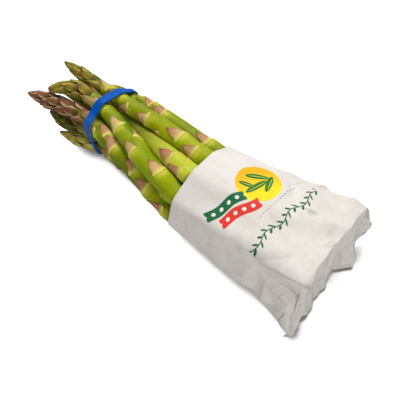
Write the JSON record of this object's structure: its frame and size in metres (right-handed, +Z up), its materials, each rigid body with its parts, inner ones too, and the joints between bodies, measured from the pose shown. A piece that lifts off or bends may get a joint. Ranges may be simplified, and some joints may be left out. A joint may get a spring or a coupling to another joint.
{
  "type": "bundle of asparagus",
  "caption": "Bunch of green asparagus spears lying on its side, held by a rubber band below the heads, with the butt ends in a crumpled open paper sleeve.",
  "frame": {"origin": "on the table under the middle of the bunch's bounding box", "axes": "+X along the spears from the tips to the cut butts, +Y across the bunch, +Z up from the table"},
  "size_m": [0.2388, 0.089, 0.0457],
  "materials": {
    "asparagus": "fresh yellow-green plant skin, satin, with tan and mauve scale leaves",
    "band": "smooth saturated blue rubber, satin",
    "paper": null
  },
  "bodies": {
    "root": {"spear_01": "asparagus", "spear_02": "asparagus", "spear_03": "asparagus", "spear_04": "asparagus", "spear_05": "asparagus", "spear_06": "asparagus", "spear_07": "asparagus", "spear_08": "asparagus", "spear_09": "asparagus", "spear_10": "asparagus", "spear_11": "asparagus", "rubber_band": "band", "paper_sleeve": "paper"}
  },
  "joints": []
}
